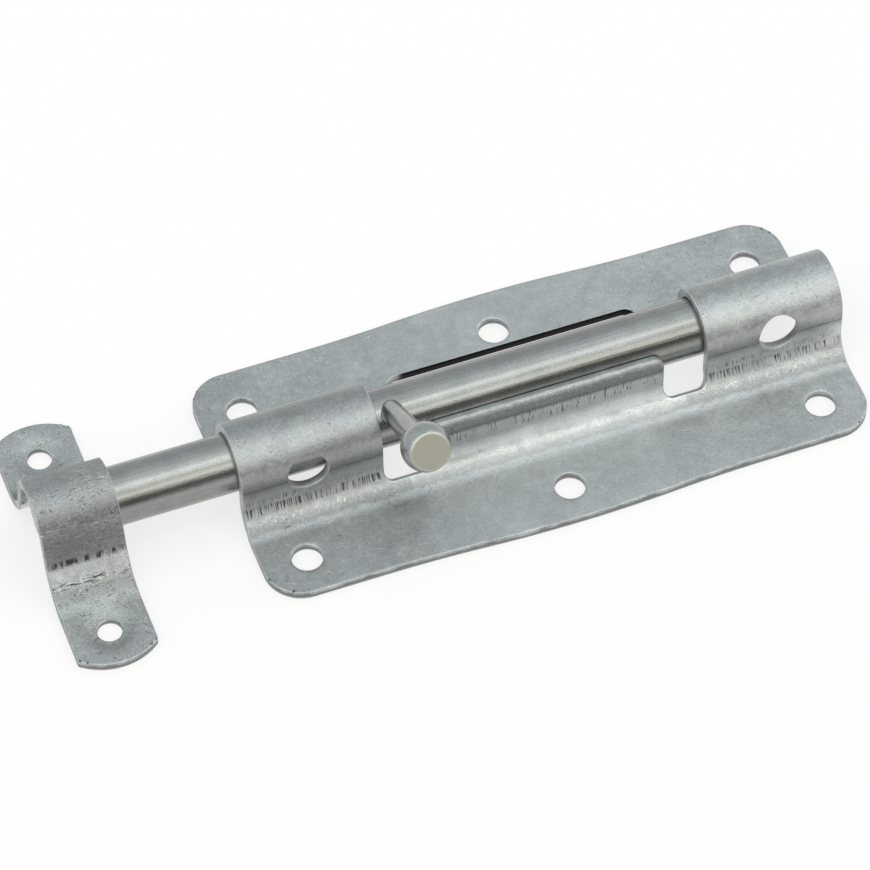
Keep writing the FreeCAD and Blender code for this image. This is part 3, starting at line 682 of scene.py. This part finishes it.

    # creases: painted shade as dark lines along the bend, which also sink the surface a little
    for crease in marks["creases"]:
        line = between(tree, near, crease["z"] - 0.05, crease["z"] + 0.05, 0.3)
        across = between(tree, aside, *crease["x"], 0.4)
        shown = addNode(tree, "ShaderNodeMath", {0: line, 1: across}, operation="MULTIPLY")
        colour = addNode(tree, "ShaderNodeMix", {0: shown, 6: colour, 7: toLinear(look["dark"])},
                         data_type="RGBA")
        height = addNode(tree, "ShaderNodeMath", {0: height, 1: shown}, operation="SUBTRACT")

    least, most = look["roughness"]
    rough = addNode(tree, "ShaderNodeMapRange", {0: tone, 1: 0.35, 2: 0.65, 3: least, 4: most})
    relief = addNode(tree, "ShaderNodeBump", {"Strength": 0.5, "Distance": 0.0001, "Height": height})
    plug(tree, shader, {
        "Base Color": colour.outputs[2], "Roughness": rough.outputs[0], "Normal": relief.outputs[0]})
    return sheet


edgeLook = {
    "deep": "#909394",
    "pale": "#BFC1C1",
    "broken": "#5A5C5B",
    # slot: black for the painted shadow on the slot's far wall under the bolt
    "slot": "#1B1B1A",
    "grain": 0.35,           # mm
    "patch": 4.0,
    "brokenFrom": 0.45,      # mm above the door
    "brokenTo": 1.25,
    "slotShadowFrom": -24.2,       # where the painted shadow on the slot's wall starts along the bolt
    "roughness": 0.5,
}


def shearedEdge(name, look):
    # Sheared steel edge, plated over: granular grey, a darker broken zone half way down, and black painted
    # shadow on the slot's far wall under the bolt. The colour is a mix of two greys by the mean of two
    # noises, darkened inside windows of place.
    edge, tree, shader, inMm = newMetal(name)
    axes = addNode(tree, "ShaderNodeSeparateXYZ", {0: inMm})
    grain = addNode(tree, "ShaderNodeTexNoise", {
        "Vector": inMm, "Scale": 1 / look["grain"], "Detail": 3.0, "Roughness": 0.7})
    patch = addNode(tree, "ShaderNodeTexNoise", {"Vector": inMm, "Scale": 1 / look["patch"], "Detail": 3.0})
    mixed = addNode(tree, "ShaderNodeMix", {0: 0.5, 2: grain.outputs[0], 3: patch.outputs[0]})
    amount = addNode(tree, "ShaderNodeMapRange", {0: mixed, 1: 0.38, 2: 0.62})
    colour = addNode(tree, "ShaderNodeMix", {
        0: amount, 6: toLinear(look["deep"]), 7: toLinear(look["pale"])}, data_type="RGBA")
    wander = addNode(tree, "ShaderNodeMapRange", {0: patch.outputs[0], 1: 0.3, 2: 0.7, 3: -0.3, 4: 0.3})
    level = addNode(tree, "ShaderNodeMath", {0: axes.outputs["Z"], 1: wander}, operation="ADD")
    broken = between(tree, level, look["brokenFrom"], look["brokenTo"], 0.3)
    broken = addNode(tree, "ShaderNodeMath", {0: broken, 1: 0.6}, operation="MULTIPLY")
    colour = addNode(tree, "ShaderNodeMix", {0: broken, 6: colour, 7: toLinear(look["broken"])},
                     data_type="RGBA")
    # painted shadow: the slot's far wall, low down and behind the bolt, goes black
    _, right, back, _ = plateShape["slot"]
    inSlot = between(tree, axes.outputs["X"], look["slotShadowFrom"], right + 1, 2.6)
    behind = between(tree, axes.outputs["Y"], 6.0, back + 1, 0.4)
    low = between(tree, axes.outputs["Z"], -1.0, 5.0, 1.0)
    deep = addNode(tree, "ShaderNodeMath", {0: inSlot, 1: behind}, operation="MULTIPLY")
    deep = addNode(tree, "ShaderNodeMath", {0: deep, 1: low}, operation="MULTIPLY")
    colour = addNode(tree, "ShaderNodeMix", {0: deep, 6: colour, 7: toLinear(look["slot"])},
                     data_type="RGBA")
    relief = addNode(tree, "ShaderNodeBump", {
        "Strength": 0.6, "Distance": 0.00015, "Height": grain.outputs[0]})
    plug(tree, shader, {
        "Base Color": colour.outputs[2], "Roughness": look["roughness"], "Normal": relief.outputs[0]})
    return edge


barLook = {
    "deep": "#828382",
    "pale": "#999998",
    "brown": "#8A857A",
    "grain": 0.35,           # mm
    "cloud": 7.0,
    "drawn": (45.0, 0.5),    # length and width of the fine streaks
    "broad": (60.0, 2.6),    # and of the brown ones
    "roughness": (0.12, 0.24),
}


def streakedBar(name, look):
    # Drawn round bar, zinc plated: fine grain along its length, longer pale and brownish streaks. The
    # colour is a mix of two greys by three noises, the finest drawn out along the bar, with brown where a
    # broader one is high.
    bar, tree, shader, inMm = newMetal(name)
    long, thick = look["drawn"]
    drawn = addNode(tree, "ShaderNodeMapping", {"Vector": inMm, "Scale": (1 / long, 1 / thick, 1 / thick)})
    fine = addNode(tree, "ShaderNodeTexNoise", {
        "Vector": drawn, "Scale": 1.0, "Detail": 4.0, "Roughness": 0.6})
    long, thick = look["broad"]
    wide = addNode(tree, "ShaderNodeMapping", {"Vector": inMm, "Scale": (1 / long, 1 / thick, 1 / thick)})
    broad = addNode(tree, "ShaderNodeTexNoise", {"Vector": wide, "Scale": 1.0, "Detail": 3.0})
    cloud = addNode(tree, "ShaderNodeTexNoise", {
        "Vector": inMm, "Scale": 1 / look["cloud"], "Detail": 4.0, "Roughness": 0.6})
    tone = addNode(tree, "ShaderNodeMix", {0: 0.5, 2: fine.outputs[0], 3: cloud.outputs[0]})
    grain = addNode(tree, "ShaderNodeTexNoise", {
        "Vector": inMm, "Scale": 1 / look["grain"], "Detail": 3.0, "Roughness": 0.7})
    tone = addNode(tree, "ShaderNodeMix", {0: 0.4, 2: tone, 3: grain.outputs[0]})
    amount = addNode(tree, "ShaderNodeMapRange", {0: tone, 1: 0.4, 2: 0.6})
    colour = addNode(tree, "ShaderNodeMix", {
        0: amount, 6: toLinear(look["deep"]), 7: toLinear(look["pale"])}, data_type="RGBA")
    brown = addNode(tree, "ShaderNodeMapRange", {0: broad.outputs[0], 1: 0.52, 2: 0.62, 4: 0.3})
    colour = addNode(tree, "ShaderNodeMix", {0: brown, 6: colour, 7: toLinear(look["brown"])},
                     data_type="RGBA")
    least, most = look["roughness"]
    rough = addNode(tree, "ShaderNodeMapRange", {0: tone, 1: 0.38, 2: 0.62, 3: least, 4: most})
    worn = addNode(tree, "ShaderNodeMix", {0: 0.55, 2: fine.outputs[0], 3: grain.outputs[0]})
    relief = addNode(tree, "ShaderNodeBump", {"Strength": 0.5, "Distance": 0.00008, "Height": worn})
    plug(tree, shader, {
        "Base Color": colour.outputs[2], "Roughness": rough.outputs[0], "Normal": relief.outputs[0]})
    return bar


handleLook = {
    "deep": "#949797",
    "pale": "#A6A8A7",
    "face": "#B5B3A8",       # the knob's flat end
    # painted shade where the stem meets the knob and the bolt
    "jointShade": "#2E2E2C",
    "cloud": 4.0,            # mm
    "grain": 0.45,
    "roughness": (0.2, 0.27),
    "faceRoughness": 0.5,
}


def turnedHandle(name, look, h):
    # Turned steel, zinc plated: smooth and faintly grainy, with painted shade at the foot and in the knob's
    # mouth, where it meets the bolt and the stem, and a paler matt end face. The colour is a mix of two
    # greys by a noise; the marks go by distance along the stem and from the bolt's axis.
    steel, tree, shader, inMm = newMetal(name)
    fromSeat = addNode(tree, "ShaderNodeVectorMath", {0: inMm, 1: (h["x"], 0.0, axisHeight)},
                       operation="SUBTRACT")
    a = math.radians(h["rise"])
    out = (0.0, -math.cos(a), math.sin(a))
    along = addNode(tree, "ShaderNodeVectorMath", {0: fromSeat, 1: out},
                    operation="DOT_PRODUCT").outputs["Value"]
    cloud = addNode(tree, "ShaderNodeTexNoise", {
        "Vector": inMm, "Scale": 1 / look["cloud"], "Detail": 5.0, "Roughness": 0.65})
    grain = addNode(tree, "ShaderNodeTexNoise", {"Vector": inMm, "Scale": 1 / look["grain"], "Detail": 2.0})
    amount = addNode(tree, "ShaderNodeMapRange", {0: cloud.outputs[0], 1: 0.35, 2: 0.65})
    colour = addNode(tree, "ShaderNodeMix", {
        0: amount, 6: toLinear(look["deep"]), 7: toLinear(look["pale"])}, data_type="RGBA")
    wander = addNode(tree, "ShaderNodeMapRange", {0: cloud.outputs[0], 1: 0.3, 2: 0.7, 3: -0.3, 4: 0.3})
    level = addNode(tree, "ShaderNodeMath", {0: along, 1: wander}, operation="ADD")
    mouth, crown = knobEnds(h)
    face = addNode(tree, "ShaderNodeMapRange", {0: level, 1: crown - 0.55, 2: crown - 0.25})
    colour = addNode(tree, "ShaderNodeMix", {0: face, 6: colour, 7: toLinear(look["face"])},
                     data_type="RGBA")
    # painted shade by distance along the stem at the knob's mouth, and by distance from the bolt's axis at
    # the foot
    sideways = addNode(tree, "ShaderNodeVectorMath", {0: fromSeat, 1: (0.0, 1.0, 1.0)}, operation="MULTIPLY")
    fromBolt = addNode(tree, "ShaderNodeVectorMath", {0: sideways}, operation="LENGTH").outputs["Value"]
    shadedJoints = ((level, mouth - 0.35, mouth + 0.1, 0.75), (fromBolt, 0.0, h["seat"] + 0.35, 0.7))
    for where, low, high, depth in shadedJoints:
        jointShade = between(tree, where, low, high, 0.5)
        jointShade = addNode(tree, "ShaderNodeMath", {0: jointShade, 1: depth}, operation="MULTIPLY")
        colour = addNode(tree, "ShaderNodeMix", {0: jointShade, 6: colour, 7: toLinear(look["jointShade"])},
                         data_type="RGBA")
    least, most = look["roughness"]
    rough = addNode(tree, "ShaderNodeMapRange", {0: cloud.outputs[0], 1: 0.35, 2: 0.65, 3: least, 4: most})
    rough = addNode(tree, "ShaderNodeMix", {0: face, 2: rough, 3: look["faceRoughness"]})
    relief = addNode(tree, "ShaderNodeBump", {
        "Strength": 0.4, "Distance": 0.00008, "Height": grain.outputs[0]})
    plug(tree, shader, {
        "Base Color": colour.outputs[2], "Roughness": rough.outputs[0], "Normal": relief.outputs[0]})
    return steel


platedSteel = platedSheet("zincPlatedPlate", platedLook, plateMarks)
platedStrap = platedSheet("zincPlatedStrap", dict(platedLook, keeperEndShade=1.0, scuffed=0.63), keeperMarks)
shearedSteel = shearedEdge("shearedPlatedEdge", edgeLook)
drawnSteel = streakedBar("drawnPlatedBar", barLook)
print("surfaces made")


# pieces

def plateSwell(x, y, z):
    # Millimetres off the upper skin: a punched dish round each screw hole and the hammered flatness of the
    # plate. The dish falls off exponentially from the hole; the waviness is a product of two long sines.
    depth, reach = plateShape["dish"]
    onFlat = z < 4
    dish = 0.0
    for hx, hy, r in plateShape["screws"]:
        away = np.hypot(np.abs(x) - hx, np.abs(y) - hy) - r
        dish = dish + depth * np.exp(-np.maximum(away, 0) / reach) * onFlat
    wave = plateShape["wave"] * (1 + np.sin(x / 9.1 + 0.7) * np.sin(y / 7.3 + x / 31.0))
    return -dish - wave


def keeperSwell(x, y, z):
    # Millimetres off the upper skin: a wide dish pressed round each screw hole, a bell curve of the distance
    # from the hole, and a little waviness.
    depth, reach = keeperShape["dish"]
    onFlat = z < 5
    holeY, holeR = keeperShape["screw"]
    away = np.maximum(np.hypot(x, np.abs(y) - holeY) - holeR, 0)
    dish = depth * np.exp(-(away / reach) ** 2) * onFlat
    return -dish - keeperShape["wave"] * (1 + np.sin(x / 5.0) * np.sin(y / 6.0))


platePoints, plateFaces = pressedSheet(plateShape, plateGone, plateExtent[0] / 2,
                                       plateShape["edgeBack"] + plateShape["bulge"], plateSwell)
pieceFrom("pressedPlate", platePoints, plateFaces, "plate", ["base_plate"],
          [platedSteel, shearedSteel], rimFrom=4)

strapPoints, strapFaces = pressedSheet(keeperShape, keeperGone, keeperExtent[0] / 2, keeperExtent[1] / 2,
                                       keeperSwell)
pieceFrom("keeperStrap", strapPoints + [keeperMiddle[0], 0, 0], strapFaces, "keeper",
          ["keeper"], [platedStrap, shearedSteel], rimFrom=4)

barShape = {
    "chamfer": 1.2,
    "edgeRound": 0.25,       # easing of the chamfer's corners
    "segments": 144,
    "rings": 60,             # along the plain round
    "ringsFrom": 3.0,        # starting this far from each end
}


def barProfile(b):
    # half outline of the bar from tip to tail, with the chamfers' corners eased
    end, r, c = barExtent[0], barRadius, b["chamfer"]
    corners = [(0, 0), (0, r - c), (c, r), (end - c, r), (end, r - c), (end, 0)]
    points = [corners[0]]
    for i in range(1, 5):
        points.extend(roundedCorner(corners[i], corners[i - 1], corners[i + 1], b["edgeRound"]).tolist())
        if i == 2:
            points.extend([(x, r) for x in np.linspace(b["ringsFrom"], end - b["ringsFrom"], b["rings"])])
    return points + [corners[5]]


barPoints, barFaces = turnedSolid(barProfile(barShape), barShape["segments"])
pieceFrom("drawnBar", alongX(barPoints, barMiddle[0] - barExtent[0] / 2), barFaces, "bolt",
          ["bolt_bar"], [drawnSteel])

handleShape = {
    "rise": 32.0,            # degrees over the front, at rest
    "x": -33.4,
    "stem": 2.6,             # radius
    "offset": 2.5,           # stem's axis from the bolt's axis
    "seat": barRadius + 0.06,    # radius that the foot is shaped to
    "ball": 5.4,             # radius
    "reach": 29.6,           # bolt's axis to the ball's centre
    "neck": 3.3,             # radius of the knob's mouth
    "flat": 4.1,             # radius of its end face
    "mouthRound": 0.12,
    "flatRound": 0.64,
    "enter": 4.2,            # how deep the stem goes into the knob
    "segments": 96,
}


def stemMesh(h):
    # A round pin whose foot follows the bolt's round: at an offset from the bolt's axis the foot stands at
    # the root of (seat radius squared less offset squared), and the lengths above it are squeezed to fit.
    mouth, _ = knobEnds(h)
    top, r, foot = mouth + h["enter"], h["stem"], h["seat"]
    length = top - foot
    profile = [(0, 0), (0, r * 0.5), (0, r - 0.12), (0.04, r - 0.04), (0.14, r)]
    profile += [(a, r) for a in np.linspace(0.4, length - 0.4, 40)] + [(length, r), (length, 0)]
    points, faces = turnedSolid(profile, h["segments"])
    cope = np.sqrt(foot ** 2 - (points[:, 2] + h["offset"]) ** 2)
    points[:, 0] = cope + (top - cope) * points[:, 0] / length
    return points, faces


def knobMesh(h):
    # A bored ball: bore, shoulder, arc of the ball and a flat end with an eased edge. The arc's points are
    # (reach less ball times the cosine, ball times the sine) of the angle from the axis.
    mouth, crown = knobEnds(h)
    low = math.asin(h["neck"] / h["ball"])
    high = math.pi - math.asin(h["flat"] / h["ball"])
    sweep = np.linspace(low, high, 48)
    ball = [(h["reach"] - h["ball"] * math.cos(a), h["ball"] * math.sin(a)) for a in sweep]
    deep = mouth + h["enter"]
    shoulder = roundedCorner((mouth, h["neck"]), (mouth, h["stem"]), ball[2], h["mouthRound"]).tolist()
    edge = roundedCorner((crown, h["flat"]), ball[-4], (crown, 0), h["flatRound"], 8).tolist()
    kept = [p for p in ball[1:-1] if p[0] > shoulder[-1][0] + 0.05 and p[0] < edge[0][0] - 0.05]
    return turnedSolid([(deep, 0), (deep, h["stem"]), (mouth + 0.1, h["stem"]), (mouth, h["stem"] + 0.1)]
                       + shoulder + kept + edge + [(crown, h["flat"] * 0.5), (crown, 0)], h["segments"])


turnedSteel = turnedHandle("turnedPlatedSteel", handleLook, handleShape)
stemPoints, stemFaces = stemMesh(handleShape)
pieceFrom("handlePin", alongHandle(stemPoints, handleShape), stemFaces, "handle",
          ["handle_stem"], [turnedSteel])
knobPoints, knobFaces = knobMesh(handleShape)
pieceFrom("turnedKnob", alongHandle(knobPoints, handleShape), knobFaces, "handle",
          ["handle_knob"], [turnedSteel])
